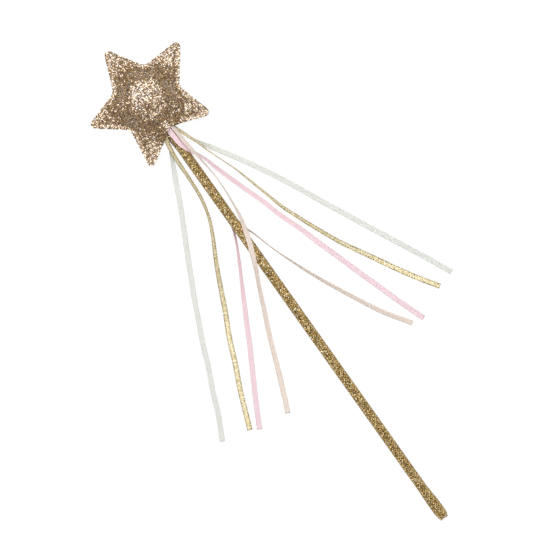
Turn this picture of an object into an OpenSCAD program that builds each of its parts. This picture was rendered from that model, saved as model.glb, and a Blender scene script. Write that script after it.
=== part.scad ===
// Toy magic wand: a stuffed glitter star on a braid-covered stick, with eight loose ribbon tails.
// It lies on a table at z = 0, on the star's back and the stick's butt, with the star towards +Y.
// Lengths are in millimetres and angles in degrees.

/* [Star] */
// Reach of the star's arms from its centre
star_r = 38; // [35:0.5:42]
// Reach of the notches between the arms
notch_r = 21.2; // [20:0.2:23]
// Radius of the rounded arm tips
tip_round = 2.4; // [2.3:0.1:4]
// Radius of the rounded notches
notch_round = 5; // [4:0.5:7]
// Turn of the star on the stick
star_turn = 6.5; // [-8:0.5:8]
// Width of the flat raw edge outside the seam
seam_border = 2.2; // [1.6:0.1:2.2]
// Thickness of one glitter fabric panel
fabric_t = 0.8; // [0.6:0.1:1]
// Rise of the stuffed front above the seam
front_crown = 11; // [9:0.5:13]
// Drop of the stuffed back below the seam
back_crown = 9; // [8.5:0.5:11]
// Depth of the flat that the star's back is pressed to where it rests
rest_flat = 0.5; // [0.3:0.1:1]
// Clearance between the filling and the fabric
fill_gap = 0.3; // [0.2:0.05:0.5]
// Thickness of the sewing thread
thread_d = 0.35; // [0.25:0.05:0.5]

/* [Stick] */
// Distance from the star's centre to the stick's butt
stick_reach = 307; // [280:1:350]
// Diameter of the wooden dowel
dowel_d = 5; // [4:0.1:6]
// Distance that the dowel reaches past the star's centre
dowel_past = 10; // [4:1:14]
// Depth of the dowel's end inside the sleeve at the butt
dowel_recess = 1; // [0.5:0.1:3]
// Chamfer on the dowel's ends
dowel_chamfer = 0.4; // [0.2:0.1:0.8]
// Wall of the braided sleeve
sleeve_wall = 0.45; // [0.3:0.05:0.8]
// Distance from the star's centre to the sleeve's top end
sleeve_top = 6; // [3:0.5:9]
// Extra wall where the sleeve's ends are turned in
hem_wall = 0.7; // [0.4:0.1:1]
// Length of each turned-in hem
hem_len = 12; // [8:0.5:16]
// Length over which a hem runs out
hem_taper = 9; // [4:0.5:12]
// Length of the rounding at the stick's butt
lip_len = 2.5; // [1:0.5:4]
// Clearance of the dowel in the sleeve and of the stick in the filling
stick_fit = 0.05; // [0.03:0.01:0.2]

/* [Ribbons] */
// Width of the ribbons
ribbon_w = 3.2; // [2.4:0.1:3.4]
// Thickness of the ribbons
ribbon_t = 0.35; // [0.2:0.05:0.5]
// Clearance round the bunched ribbon roots
root_gap = 0.3; // [0.2:0.05:0.5]
// Thickness of the thread winding that binds the roots
binding_t = 0.4; // [0.3:0.05:0.8]
// Length of the thread winding along the stick
binding_len = 3; // [2:0.5:4]

/* [Hidden] */
$fn = 64;

// How the hand-cut star departs from a regular one, arm by arm: turn in degrees and reach
arm_slip = [-1, 1, -2, 0.5, 2];
arm_stretch = [-0.2, -1, 1.5, -0.5, 0.8];
arms = len(arm_slip);
arm_step = 360 / arms;

// How finely the outline and the puffed surfaces are divided
edge_n = 5;
tip_n = 3;
notch_n = 4;
edge_crowding = 1.5;
ring_scale = [1, 0.93, 0.82, 0.68, 0.5, 0.3];
mouth_power = 0.7;

// The stuffing: share of the way from the seam where a panel is fully risen, and the radius at which
// its thick middle has fallen to half
full_rise = 0.58;
mound_r = 18;
mound_power = 4.5;

// The seam plane, the stick and its lay on the table
seam_z = back_crown;
sleeve_r = dowel_d / 2 + stick_fit + sleeve_wall;
hem_r = sleeve_r + hem_wall;
mouth_y = -notch_r * cos(star_turn);
butt_y = -stick_reach;
lay_a = atan((seam_z - hem_r) / (mouth_y - butt_y - lip_len));

// The ribbon roots stand side by side in a ring round the stick's upper hem
slots = 8;
slot_a = 360 / slots;
root_touch = 0.05;
ring_r = ribbon_t / 2 + max(hem_r + root_gap, (ribbon_w / 2 + root_touch) / tan(slot_a / 2));
binding_fit = 0.1;
bunch_r = norm([ring_r + ribbon_t / 2, ribbon_w / 2]) + binding_fit;
binding_r = bunch_r + binding_t;
root_y = [mouth_y + 7, mouth_y + 1];
binding_y = mouth_y + 2;

// The mouth of the star: the height and half width of the tunnel that the two panels leave,
// and the half width that the seam leaves open
mouth_h = binding_r + root_gap;
mouth_w = 1.4 * mouth_h;
sewn_w = 1.5 * mouth_w;
fill_mouth_y = root_y[0] + 2 * root_gap;

// Parts that a ribbon's route has between two of its marks
mark_parts = 2;

// Each ribbon: name, colour, slot in the ring, roll at the root, number of the mark where the free
// tail starts, and its marks from the star's mouth as [x, y, z, roll] from below the star's centre
RIBBONS = [
    ["white_left", "#e4e4e0", 6, 90, 7, [
        [-4.9, -26, 8.2, 80], [-6.4, -32.5, 6.4, 60], [-9.5, -39.5, 4.2, 35], [-13.5, -47.5, 2.2, 15],
        [-19.5, -60.5, 0.6, 0], [-26, -73.5, 0.25, 0], [-32.5, -86, 0.25, 0], [-39, -99, 0.25, 0],
        [-45.5, -112, 0.25, 0], [-51.5, -125, 0.25, 0], [-57.5, -138, 0.25, 0], [-63, -151.5, 0.25, 0],
        [-69, -164.5, 0.25, 0], [-74.5, -178, 0.25, 0], [-82, -193, 0.25, 0]]],
    ["gold_left", "#dccfac", 7, 45, 11, [
        [-4.6, -26, 11.3, 30], [-5.7, -32, 10.2, 34], [-6.4, -38.5, 8.6, 38], [-6.6, -45.5, 6.9, 43],
        [-6.8, -53, 5.2, 48], [-7.9, -67, 2.5, 50], [-9.4, -74, 1.75, 52], [-11.6, -81, 1.5, 50],
        [-14.6, -87.5, 1.4, 46], [-18, -94, 1.25, 40], [-24.5, -106.5, 1.1, 32], [-30.5, -119.5, 0.85, 22],
        [-36.5, -132.5, 0.6, 10], [-43, -145.5, 0.25, 0], [-48.5, -159, 0.25, 0], [-54.5, -172, 0.25, 0],
        [-60, -185.5, 0.25, 0], [-64.5, -197, 0.25, 0]]],
    ["pink_left", "#f0d7dd", 5, -45, 12, [
        [-2.4, -31, 4.3, -55], [-1.6, -43, 2.9, -60], [-1.2, -55, 1.9, -65], [-1, -67, 1.65, -68],
        [-1.2, -79, 1.65, -68], [-1.8, -87, 1.65, -68], [-2.9, -92.5, 1.65, -68], [-5.4, -99, 1.6, -66],
        [-8.5, -105.5, 1.6, -64], [-11.6, -111.5, 1.45, -54], [-15.2, -118, 1.4, -52],
        [-22, -130.5, 1.1, -34], [-29, -143.5, 0.85, -22], [-35.5, -156, 0.6, -10],
        [-42.5, -168.5, 0.25, 0], [-49.5, -181, 0.25, 0], [-59.5, -200, 0.25, 0]]],
    ["peach_left", "#e2d4c8", 1, -45, 17, [
        [3.5, -27, 12.6, -45], [3.7, -33, 12.9, -46], [4.4, -39, 12.5, -52], [5.4, -46, 11.5, -64],
        [6.2, -53.5, 10.4, -76], [6.9, -61, 9.5, -80], [6.9, -68, 9, -80], [6.5, -75, 9, -76],
        [5.8, -82, 9.5, -68], [4.9, -89.5, 10.2, -55], [2.8, -97.5, 10.9, -35], [0.7, -104.5, 10.85, -10],
        [-1.2, -109.5, 10.5, 8], [-2.9, -114, 9.9, 22], [-4.8, -118.5, 8.9, 32], [-6.8, -123, 7.7, 42],
        [-9.9, -129.5, 5.8, 43], [-15.7, -143, 2.4, 33], [-21.4, -156, 1, 28], [-26.7, -169.5, 0.85, 22],
        [-32, -183, 0.6, 10], [-40, -202, 0.25, 0]]],
    ["white_right", "#e4e4e0", 3, 45, 8, [
        [5.5, -26.5, 5.3, 80], [7.6, -32, 4.3, 75], [10.2, -37, 3.3, 60], [12.6, -40.8, 2.5, 42],
        [16.2, -46.5, 1.6, 22], [24, -59, 0.5, 8], [31, -71, 0.25, 0], [38, -84, 0.25, 0],
        [44.5, -97, 0.25, 0], [50.5, -110, 0.25, 0], [57, -123, 0.25, 0], [63, -135.5, 0.25, 0],
        [69.5, -148.5, 0.25, 0], [76, -161.5, 0.25, 0], [82.5, -174.5, 0.25, 0], [89.5, -189.5, 0.25, 0]]],
    ["gold_right", "#dccfac", 2, -90, 10, [
        [5.5, -26.5, 8.6, -55], [7.4, -31.7, 7.7, -55], [9.8, -37.3, 6.4, -62], [11.8, -44.2, 4.8, -75],
        [14.3, -51, 3.6, -80], [17, -57.7, 2.6, -80], [19.5, -64.4, 1.9, -74], [21.5, -71.4, 1.7, -66],
        [25.3, -85, 1.55, -60], [29.3, -99, 1.4, -50], [34.7, -112.5, 1.3, -42], [40.3, -125.5, 1.2, -38],
        [46.5, -138.5, 1.1, -33], [53.7, -151, 0.85, -22], [60.7, -163.5, 0.6, -12], [68, -176, 0.35, -3],
        [78.8, -192.5, 0.25, 0]]],
    ["pink_right", "#f0d7dd", 0, 0, 10, [
        [0.3, -27, 12.4, -6], [1.3, -34, 11.9, -20], [3.9, -40.5, 10, -50], [7.5, -47.5, 7.8, -60],
        [9.6, -54.5, 6, -46], [11.8, -61.5, 4.3, -40], [16.4, -75, 2, -35], [21.2, -88.5, 1.15, -33],
        [25.4, -102.5, 1.05, -30], [30.4, -116, 0.95, -26], [34.7, -129.5, 0.5, -8], [39.3, -143, 0.25, 0],
        [43.8, -157, 0.25, 0], [48.5, -170.5, 0.25, 0], [53, -184, 0.25, 0], [59.8, -202.5, 0.25, 0]]],
    ["peach_right", "#e2d4c8", 4, 0, 11, [
        [0.8, -31, 3.6, 20], [1.3, -43, 2.5, 45], [1.6, -55, 1.7, 64], [1.7, -67, 1.6, 68],
        [1.8, -79, 1.6, 68], [2.3, -89, 1.6, 68], [3.5, -95.5, 1.62, 70], [6.2, -103, 1.66, 77],
        [8.2, -110, 1.68, 80], [10.4, -117, 1.68, 80], [15.3, -130, 1.62, 68], [20.9, -143.5, 1.5, 57],
        [27, -156.5, 1.37, 47], [33.5, -169.5, 1.23, 40], [40, -182, 1.05, 31], [52.5, -201, 0.71, 18]]]];

// Plane geometry of the star's outline
function dir(a) = [cos(a), sin(a)];
function mix(p, q, t) = p + (q - p) * t;
function wrap(a) = a - 360 * round(a / 360);
function arm_a(i) = 90 + star_turn + arm_step * i + arm_slip[i % arms];
function notch_a(i) = 90 + star_turn + arm_step * (i + 0.5);
function tip_c(i) = (star_r + arm_stretch[i % arms] - tip_round) * dir(arm_a(i));
function notch_c(i) = (notch_r + notch_round) * dir(notch_a(i));

// Direction that the straight edge between tip i and notch k faces; side is 1 before notch k, -1 after it
function edge_a(i, k, side) =
    let (v = notch_c(k) - tip_c(i))
    arm_a(i) + wrap(atan2(v.y, v.x) - arm_a(i)) - side * acos((tip_round + notch_round) / norm(v));
function in_a(i) = edge_a(i, i - 1, -1);
function out_a(i) = edge_a(i, i, 1);

// Points of the tip and notch arcs on the outline that lies an inset inside the cut edge
function tip_pt(i, a, inset) = tip_c(i) + (tip_round - inset) * dir(a);
function notch_pt(k, a, inset) = notch_c(k) - (notch_round + inset) * dir(a);

// One arm of the outline, from the notch before it to the notch after it
edge_t = [for (j = [1:edge_n - 1]) pow(j / edge_n, edge_crowding)];
arm_n = 2 * len(edge_t) + tip_n + 1 + notch_n + 1;
function arm_outline(i, inset) =
    let (a = in_a(i), b = out_a(i), c = in_a(i + 1))
    [for (t = edge_t) mix(notch_pt(i - 1, a, inset), tip_pt(i, a, inset), t),
     for (j = [0:tip_n]) tip_pt(i, mix(a, b, j / tip_n), inset),
     for (j = [edge_n - 2:-1:0]) mix(notch_pt(i, b, inset), tip_pt(i, b, inset), edge_t[j]),
     for (j = [0:notch_n]) notch_pt(i, mix(b, c, j / notch_n), inset)];
function outline(inset) = [for (i = [0:arms - 1]) each arm_outline(i, inset)];
function arm_of(j) = floor(j / arm_n) + ((j % arm_n) > arm_n - 1 - notch_n / 2 ? 1 : 0);

// Distance from a point to one side of an arm's seam, which runs into the notch as an arc
function side_gap(p, i, k, a) =
    let (tip = tip_pt(i, a, seam_border), root = notch_pt(k, a, seam_border))
    (p - root) * (tip - root) > 0 ? (tip - p) * dir(a) : norm(p - notch_c(k)) - notch_round - seam_border;
function swell(p, i) =
    let (d = max(0, side_gap(p, i, i - 1, in_a(i))), e = max(0, side_gap(p, i, i, out_a(i))))
    d + e > 0 ? d * e / (d + e) : 0;

// Height of a panel's inner face above the seam, with the tunnel for the stick and the ribbon roots
function puff(p, i, crown) =
    let (rise = min(1, swell(p, i) / swell([0, 0], i) / full_rise))
    crown * sin(90 * rise) / (1 + pow(norm(p) / mound_r, mound_power));
function tunnel(p) =
    p.y < 0 && abs(p.x) < mouth_w ? mouth_h * pow(cos(90 * p.x / mouth_w), mouth_power) : 0;

// The star's box, from its tip arcs, centres the part
tips = [for (i = [0:arms - 1]) tip_c(i)];
star_min_x = min([for (p = tips) p.x]) - tip_round;
star_max_x = max([for (p = tips) p.x]) + tip_round;
star_max_y = max([for (p = tips) p.y]) + tip_round;
middle = [(star_min_x + star_max_x) / 2, (star_max_y + butt_y) / 2];

// Rings of points from the cut edge, over the seam, to the star's centre
seam = outline(seam_border);
ring_n = len(seam);
panel_rings = concat([outline(0)], [for (s = ring_scale) seam * s]);
fill_rings = [for (j = [2:len(ring_scale) - 1]) seam * ring_scale[j]];

// A skin's points: its rings, then its centre
function skin(rings, heights, top, side) =
    concat(
        [for (k = [0:len(rings) - 1]) for (j = [0:ring_n - 1])
            [rings[k][j].x, rings[k][j].y, seam_z + side * heights[k][j]]],
        [[0, 0, seam_z + side * top]]);
function at(base, k, j) = base + k * ring_n + j % ring_n;
function skin_faces(base, rings) =
    concat(
        [for (k = [0:rings - 2]) for (j = [0:ring_n - 1]) each
            [[at(base, k, j), at(base, k + 1, j), at(base, k, j + 1)],
             [at(base, k + 1, j), at(base, k + 1, j + 1), at(base, k, j + 1)]]],
        [for (j = [0:ring_n - 1])
            [at(base, rings - 1, j), base + rings * ring_n, at(base, rings - 1, j + 1)]]);
function rim_faces(base) =
    [for (j = [0:ring_n - 1]) each
        [[at(0, 0, j), at(0, 0, j + 1), at(base, 0, j + 1)],
         [at(0, 0, j), at(base, 0, j + 1), at(base, 0, j)]]];
function turned(faces) = [for (f = faces) [f[2], f[1], f[0]]];

// A closed solid between an upper and a lower skin of the same rings
module between_skins(rings, upper, lower) {
    base = len(rings) * ring_n + 1;
    faces = concat(skin_faces(0, len(rings)), turned(skin_faces(base, len(rings))), rim_faces(base));
    polyhedron(concat(upper, lower), faces, convexity = 6);
}

// Heights of a panel's inner face, flat out from the seam; the cap is where the back is pressed flat
function panel_heights(crown, cap) =
    [for (k = [0:len(panel_rings) - 1]) [for (j = [0:ring_n - 1])
        let (p = panel_rings[k][j], rise = k < 2 ? 0 : puff(p, arm_of(j), crown))
        min(cap, max(rise, tunnel(p)))]];
function fill_heights(crown, cap) =
    [for (ring = fill_rings) [for (j = [0:ring_n - 1])
        let (h = min(cap, puff(ring[j], arm_of(j), crown)))
        max(h / 3, h - fill_gap)]];
function raised(heights, by) = [for (ring = heights) [for (h = ring) h + by]];

// Crowns of the inner faces, and the highest that each may reach
front_in = front_crown - fabric_t;
back_in = back_crown + rest_flat - fabric_t;
back_cap = back_crown - fabric_t;

module placed() {
    translate([-middle.x, -middle.y, 0]) children();
}

// The stick's own frame: +Z from the butt along the stick
function axis_z(y) = seam_z + (y - mouth_y) * tan(lay_a);
function along(y) = (y - butt_y) / cos(lay_a);
module on_stick() {
    placed() translate([0, butt_y, axis_z(butt_y)]) rotate([lay_a - 90, 0, 0]) children();
}

module stick_dowel() {
    r = dowel_d / 2;
    c = dowel_chamfer;
    top = along(dowel_past);
    color("#c8a878") on_stick() rotate_extrude()
        polygon([
            [0, dowel_recess], [r - c, dowel_recess], [r, dowel_recess + c],
            [r, top - c], [r - c, top], [0, top]]);
}

module stick_sleeve() {
    bore = dowel_d / 2 + stick_fit;
    top = along(-sleeve_top);
    lip_w = 0.7 * (hem_r - bore);
    color("#a0824b") on_stick() rotate_extrude()
        polygon([
            [bore, 0],
            for (a = [0:15:90]) [hem_r - lip_w * (1 - sin(a)), lip_len * (1 - cos(a))],
            [hem_r, hem_len], [sleeve_r, hem_len + hem_taper],
            [sleeve_r, top - hem_len - hem_taper], [hem_r, top - hem_len], [hem_r, top], [bore, top]]);
}

module star_front() {
    inner = panel_heights(front_in, front_in);
    color("#be9f7d") placed() between_skins(
        panel_rings,
        skin(panel_rings, raised(inner, fabric_t), front_crown, 1),
        skin(panel_rings, inner, front_in, 1));
}

module star_back() {
    inner = panel_heights(back_in, back_cap);
    color("#be9f7d") placed() between_skins(
        panel_rings,
        skin(panel_rings, inner, back_cap, -1),
        skin(panel_rings, raised(inner, fabric_t), back_crown, -1));
}

// The hole that the stick, the bunched ribbon roots and their binding fill
module stick_hole() {
    dowel_hole = dowel_d / 2 + stick_fit;
    sleeve_hole = hem_r + stick_fit;
    on_stick() rotate_extrude()
        polygon([
            [0, 0], [mouth_h, 0], [mouth_h, along(fill_mouth_y)], [sleeve_hole, along(fill_mouth_y)],
            [sleeve_hole, along(-sleeve_top) + stick_fit], [dowel_hole, along(-sleeve_top) + stick_fit],
            [dowel_hole, along(dowel_past) + stick_fit], [0, along(dowel_past) + stick_fit]]);
}

module star_filling() {
    color("#f2efe8") difference() {
        placed() between_skins(
            fill_rings,
            skin(fill_rings, fill_heights(front_in, front_in), front_in - fill_gap, 1),
            skin(fill_rings, fill_heights(back_in, back_cap), back_cap - fill_gap, -1));
        stick_hole();
    }
}

// The two threads of the seam, on the front and on the back, open where the stick enters
module seam_thread() {
    line = seam_border - 2 * thread_d;
    function sewn(inset) =
        let (p = outline(inset), first = 3 * arm_n)
        [for (j = [first:first + ring_n - 1])
            let (q = p[j % ring_n])
            if (q.y > 0 || abs(q.x) > sewn_w) q];
    function backwards(list) = [for (j = [len(list) - 1:-1:0]) list[j]];
    color("#c9a86a") placed() for (z = [seam_z + fabric_t, seam_z - fabric_t - thread_d])
        translate([0, 0, z]) linear_extrude(height = thread_d)
            polygon(concat(sewn(line - thread_d / 2), backwards(sewn(line + thread_d / 2))));
}

module ribbon_binding() {
    color("#c9a86a") on_stick() translate([0, 0, along(binding_y)]) rotate_extrude()
        translate([bunch_r, 0]) square([binding_t, binding_len]);
}

// A ribbon's marks: two in its slot of the ring, then the chosen points
function marks(r) =
    concat(
        [for (y = root_y)
            [ring_r * sin(slot_a * r[2]), y, axis_z(y) + ring_r * cos(slot_a * r[2]), r[3]]],
        r[5]);
function place(q) = [q[0], q[1], q[2]];
function unit(v) = v / norm(v);

// A ribbon's route: a smooth line through its marks, in equal parts between each two
function gap(m, j) = norm(place(m[j + 1]) - place(m[j]));
function slope(m, j) = (m[j + 1] - m[j]) / gap(m, j);
function lean(m, j) =
    j == 0 ? slope(m, 0)
    : j == len(m) - 1 ? slope(m, j - 1)
    : (slope(m, j - 1) * gap(m, j) + slope(m, j) * gap(m, j - 1)) / (gap(m, j - 1) + gap(m, j));
function eased(m, j, t) =
    (2 * t ^ 3 - 3 * t ^ 2 + 1) * m[j] + (t ^ 3 - 2 * t ^ 2 + t) * gap(m, j) * lean(m, j)
    + (3 * t ^ 2 - 2 * t ^ 3) * m[j + 1] + (t ^ 3 - t ^ 2) * gap(m, j) * lean(m, j + 1);
function route(r) =
    let (m = marks(r))
    concat(
        [for (j = [0:len(m) - 2]) for (k = [0:mark_parts - 1]) eased(m, j, k / mark_parts)],
        [m[len(m) - 1]]);
function tail_start(r) = mark_parts * r[4];

// The four corners of the ribbon's flat section at point j of its route
function section(q, j) =
    let (
        t = unit(place(q[min(j + 1, len(q) - 1)]) - place(q[max(j - 1, 0)])),
        side = unit(cross([0, 0, 1], t)),
        up = cross(t, side),
        across = cos(q[j][3]) * side + sin(q[j][3]) * up,
        face = cos(q[j][3]) * up - sin(q[j][3]) * side)
    [for (c = [[1, 1], [-1, 1], [-1, -1], [1, -1]])
        place(q[j]) + c[0] * ribbon_w / 2 * across + c[1] * ribbon_t / 2 * face];

// The stretch of a ribbon between two points of its route
module ribbon(r, first, last) {
    q = route(r);
    end = 4 * (last - first);
    // both broad faces are split along the same diagonal, so that a twist keeps the ribbon's thickness
    walls = [for (j = [0:last - first - 1]) for (c = [0:3]) each
        let (a = 4 * j + c, b = 4 * j + (c + 1) % 4)
        c == 2 ? [[a, a + 4, b], [a + 4, b + 4, b]] : [[a, a + 4, b + 4], [a, b + 4, b]]];
    caps = [[0, 1, 2], [0, 2, 3], [end + 2, end + 1, end], [end + 3, end + 2, end]];
    color(r[1]) placed()
        polyhedron([for (j = [first:last]) each section(q, j)], concat(walls, caps), convexity = 4);
}

stick_dowel();
stick_sleeve();
star_front();
star_back();
star_filling();
seam_thread();
ribbon_binding();
for (r = RIBBONS) {
    ribbon(r, 0, tail_start(r));
    ribbon(r, tail_start(r), len(route(r)) - 1);
}
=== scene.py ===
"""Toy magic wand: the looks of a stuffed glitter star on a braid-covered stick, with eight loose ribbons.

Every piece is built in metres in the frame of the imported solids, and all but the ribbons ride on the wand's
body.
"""

import math
import random

import bmesh
import bpy
import numpy as np
from bpy.props import FloatProperty, FloatVectorProperty, IntProperty, PointerProperty
from mathutils import Matrix, Vector, geometry, kdtree, noise
from mathutils.bvhtree import BVHTree


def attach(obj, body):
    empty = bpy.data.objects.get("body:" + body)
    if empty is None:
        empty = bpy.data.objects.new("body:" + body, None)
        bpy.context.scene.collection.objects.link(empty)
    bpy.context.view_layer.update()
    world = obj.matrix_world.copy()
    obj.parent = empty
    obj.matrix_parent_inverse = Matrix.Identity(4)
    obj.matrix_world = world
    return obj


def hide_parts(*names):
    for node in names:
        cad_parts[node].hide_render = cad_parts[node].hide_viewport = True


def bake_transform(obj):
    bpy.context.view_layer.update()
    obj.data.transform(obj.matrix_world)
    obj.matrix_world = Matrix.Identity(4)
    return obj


bl_info = {
    "name": "Toy magic wand",
    "version": (1, 0, 0),
    "blender": (4, 5, 0),
    "location": "View3D > Sidebar > Wand",
    "description": "Dresses the packed wand with a glitter star, a braided sleeve and ribbons",
    "category": "Object",
}

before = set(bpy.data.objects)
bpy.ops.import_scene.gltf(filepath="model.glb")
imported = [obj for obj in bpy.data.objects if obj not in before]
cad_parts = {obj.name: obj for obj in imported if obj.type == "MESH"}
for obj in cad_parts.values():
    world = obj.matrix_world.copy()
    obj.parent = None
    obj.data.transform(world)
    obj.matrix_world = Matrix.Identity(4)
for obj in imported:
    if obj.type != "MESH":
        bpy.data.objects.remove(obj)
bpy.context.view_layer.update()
MM = 0.001
ROOT_BODY = "wand"

# The star's and the stick's sizes, in millimetres from below the star's centre, as in the solids
MIDDLE = Vector((-0.722505, -134.681, 0))
STAR_R, NOTCH_R, TIP_ROUND, NOTCH_ROUND = 38, 21.2, 2.4, 5
STAR_TURN = 6.5
ARM_SLIP = (-1, 1, -2, 0.5, 2)
ARM_STRETCH = (-0.2, -1, 1.5, -0.5, 0.8)
ARMS = len(ARM_SLIP)
SEAM_BORDER = 2.2
SEAM_Z = 9
FABRIC_T = 0.8
BUTT = Vector((0, -307, 3.65325))
LAY_ANGLE = math.radians(1.07125)
STICK_LENGTH = 301.05
HEM_LENGTH, HEM_TAPER, LIP_LENGTH = 12, 9, 4
SLEEVE_R, HEM_R = 3.0, 3.7
MOUTH_Y = -21.0637
RING_R = 4.175
BINDING_R, BINDING_LENGTH = 4.72, 3
ROOT_Y = (-14.0637, -20.0637)
SLOT_ANGLE = math.radians(45)

# Each ribbon: name, slot round the stick, roll in the slot, index of the point where the free tail
# starts, and its route from the star's mouth as x, y, z in millimetres and roll in degrees. A mark of
# x and y alone lies flat on the table
LIE_HEIGHT = 0.25
RIBBONS = (
    ("white_left", 6, 90, 7, (
        (-4.9, -26, 8.2, 80), (-6.4, -32.5, 6.4, 60), (-9.5, -39.5, 4.2, 35), (-13.5, -47.5, 2.2, 15),
        (-19.5, -60.5, 0.6, 0), (-26, -73.5), (-32.5, -86), (-39, -99), (-45.5, -112), (-51.5, -125),
        (-57.5, -138), (-63, -151.5), (-69, -164.5), (-74.5, -178), (-82, -193))),
    ("gold_left", 7, 45, 11, (
        (-4.6, -26, 11.3, 30), (-5.7, -32, 10.2, 34), (-6.4, -38.5, 8.6, 38), (-6.6, -45.5, 6.9, 43),
        (-6.8, -53, 5.2, 48), (-7.9, -67, 2.5, 50), (-9.4, -74, 1.75, 52), (-11.6, -81, 1.5, 50),
        (-14.6, -87.5, 1.4, 46), (-18, -94, 1.25, 40), (-24.5, -106.5, 1.1, 32), (-30.5, -119.5, 0.85, 22),
        (-36.5, -132.5, 0.6, 10), (-43, -145.5), (-48.5, -159), (-54.5, -172), (-60, -185.5),
        (-64.5, -197))),
    ("pink_left", 5, -45, 12, (
        (-2.4, -31, 4.3, -55), (-1.6, -43, 2.9, -60), (-1.2, -55, 1.9, -65), (-1, -67, 1.65, -68),
        (-1.2, -79, 1.65, -68), (-1.8, -87, 1.65, -68), (-2.9, -92.5, 1.65, -68), (-5.4, -99, 1.6, -66),
        (-8.5, -105.5, 1.6, -64), (-11.6, -111.5, 1.45, -54), (-15.2, -118, 1.4, -52),
        (-22, -130.5, 1.1, -34), (-29, -143.5, 0.85, -22), (-35.5, -156, 0.6, -10), (-42.5, -168.5),
        (-49.5, -181), (-59.5, -200))),
    ("peach_left", 1, -45, 17, (
        (3.5, -27, 12.6, -45), (3.7, -33, 12.9, -46), (4.4, -39, 12.5, -52), (5.4, -46, 11.5, -64),
        (6.2, -53.5, 10.4, -76), (6.9, -61, 9.5, -80), (6.9, -68, 9, -80), (6.5, -75, 9, -76),
        (5.8, -82, 9.5, -68), (4.9, -89.5, 10.2, -55), (2.8, -97.5, 10.9, -35), (0.7, -104.5, 10.85, -10),
        (-1.2, -109.5, 10.5, 8), (-2.9, -114, 9.9, 22), (-4.8, -118.5, 8.9, 32), (-6.8, -123, 7.7, 42),
        (-9.9, -129.5, 5.8, 43), (-15.7, -143, 2.4, 33), (-21.4, -156, 1, 28), (-26.7, -169.5, 0.85, 22),
        (-32, -183, 0.6, 10), (-40, -202))),
    ("white_right", 3, 45, 8, (
        (5.5, -26.5, 5.3, 80), (7.6, -32, 4.3, 75), (10.2, -37, 3.3, 60), (12.6, -40.8, 2.5, 42),
        (16.2, -46.5, 1.6, 22), (24, -59, 0.5, 8), (31, -71), (38, -84), (44.5, -97), (50.5, -110),
        (57, -123), (63, -135.5), (69.5, -148.5), (76, -161.5), (82.5, -174.5), (89.5, -189.5))),
    ("gold_right", 2, -90, 10, (
        (5.5, -26.5, 8.6, -55), (7.4, -31.7, 7.7, -55), (9.8, -37.3, 6.4, -62), (11.8, -44.2, 4.8, -75),
        (14.3, -51, 3.6, -80), (17, -57.7, 2.6, -80), (19.5, -64.4, 1.9, -74), (21.5, -71.4, 1.7, -66),
        (25.3, -85, 1.55, -60), (29.3, -99, 1.4, -50), (34.7, -112.5, 1.3, -42), (40.3, -125.5, 1.2, -38),
        (46.5, -138.5, 1.1, -33), (53.7, -151, 0.85, -22), (60.7, -163.5, 0.6, -12), (68, -176, 0.35, -3),
        (78.8, -192.5))),
    ("pink_right", 0, 0, 10, (
        (0.3, -27, 12.4, -6), (1.3, -34, 11.9, -20), (3.9, -40.5, 10, -50), (7.5, -47.5, 7.8, -60),
        (9.6, -54.5, 6, -46), (11.8, -61.5, 4.3, -40), (16.4, -75, 2, -35), (21.2, -88.5, 1.15, -33),
        (25.4, -102.5, 1.05, -30), (30.4, -116, 0.95, -26), (34.7, -129.5, 0.5, -8), (39.3, -143),
        (43.8, -157), (48.5, -170.5), (53, -184), (59.8, -202.5))),
    ("peach_right", 4, 0, 11, (
        (0.8, -31, 3.6, 20), (1.3, -43, 2.5, 45), (1.6, -55, 1.7, 64), (1.7, -67, 1.6, 68),
        (1.8, -79, 1.6, 68), (2.3, -89, 1.6, 68), (3.5, -95.5, 1.62, 70), (6.2, -103, 1.66, 77),
        (8.2, -110, 1.68, 80), (10.4, -117, 1.68, 80), (15.3, -130, 1.62, 68), (20.9, -143.5, 1.5, 57),
        (27, -156.5, 1.37, 47), (33.5, -169.5, 1.23, 40), (40, -182, 1.05, 31), (52.5, -201, 0.71, 18))),
)

# Sizes that only the looks have, in millimetres
ROUND_POINTS = 9  # points along the rounding of a tip or a notch
OUTLINE_STEP = 0.4  # between the points that distances to the outline are measured from
TRIANGLE_ROW = 0.866  # height of an even triangle with sides of 1
PINNED = 0.15  # width inside the seam line where the cloth is held
MOUTH_HALF, MOUTH_TOP = 9.5, -10  # half width and upper end of the held strip round the stick
STRAY_DOWN, STRAY_UP = 1.4, 1.1  # how far the cloth may leave the solid's form
GROOVE, GROOVE_HALF = 0.35, 1.1  # depth and half width of the groove that the stitches pull
BACK_HEIGHT, FLAKE_HEIGHT = 0.22, 0.03  # least heights of the back panel and its flakes over the table
FLAKE_TRIES = 60000  # places tried for the flakes of one panel
LUMP, LUMP_DEPTH = 3.5, 0.35  # size and depth of the wadding's lumps
STITCH_OUT = 0.7  # from the seam line outwards to the stitches
STITCH_CELLS = 8  # steps along one stitch and its gap
STITCH_FREE = 12  # half width of the mouth, where no stitches are
HEM_LEAN = 0.4  # how far the hem sits to one side of the stick
FIBRE_R = 0.07
BINDING_TURNS, BINDING_THREAD_R = 8, 0.2
VIEW_HEIGHT = 5  # of the level that the view's width is measured at

# Softboxes: distance up and right in the picture, height, and size, in metres
KEY_BOX = (0.62, -0.3, 1.6, 1.5)
FILL_BOX = (-0.4, 0.62, 1.4, 0.7)
FLOOR_SHADE, FLOOR_GLOW = 0.08, 0.94  # shares of the floor's white that take shadow and that do not


# Sizes and colours that a user would change


def colour(name, description, value):
    """A colour property whose default is an sRGB hex value."""
    return FloatVectorProperty(
        name=name, description=description, subtype="COLOR", size=3, min=0, max=1, default=linear(value)[:3]
    )


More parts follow.
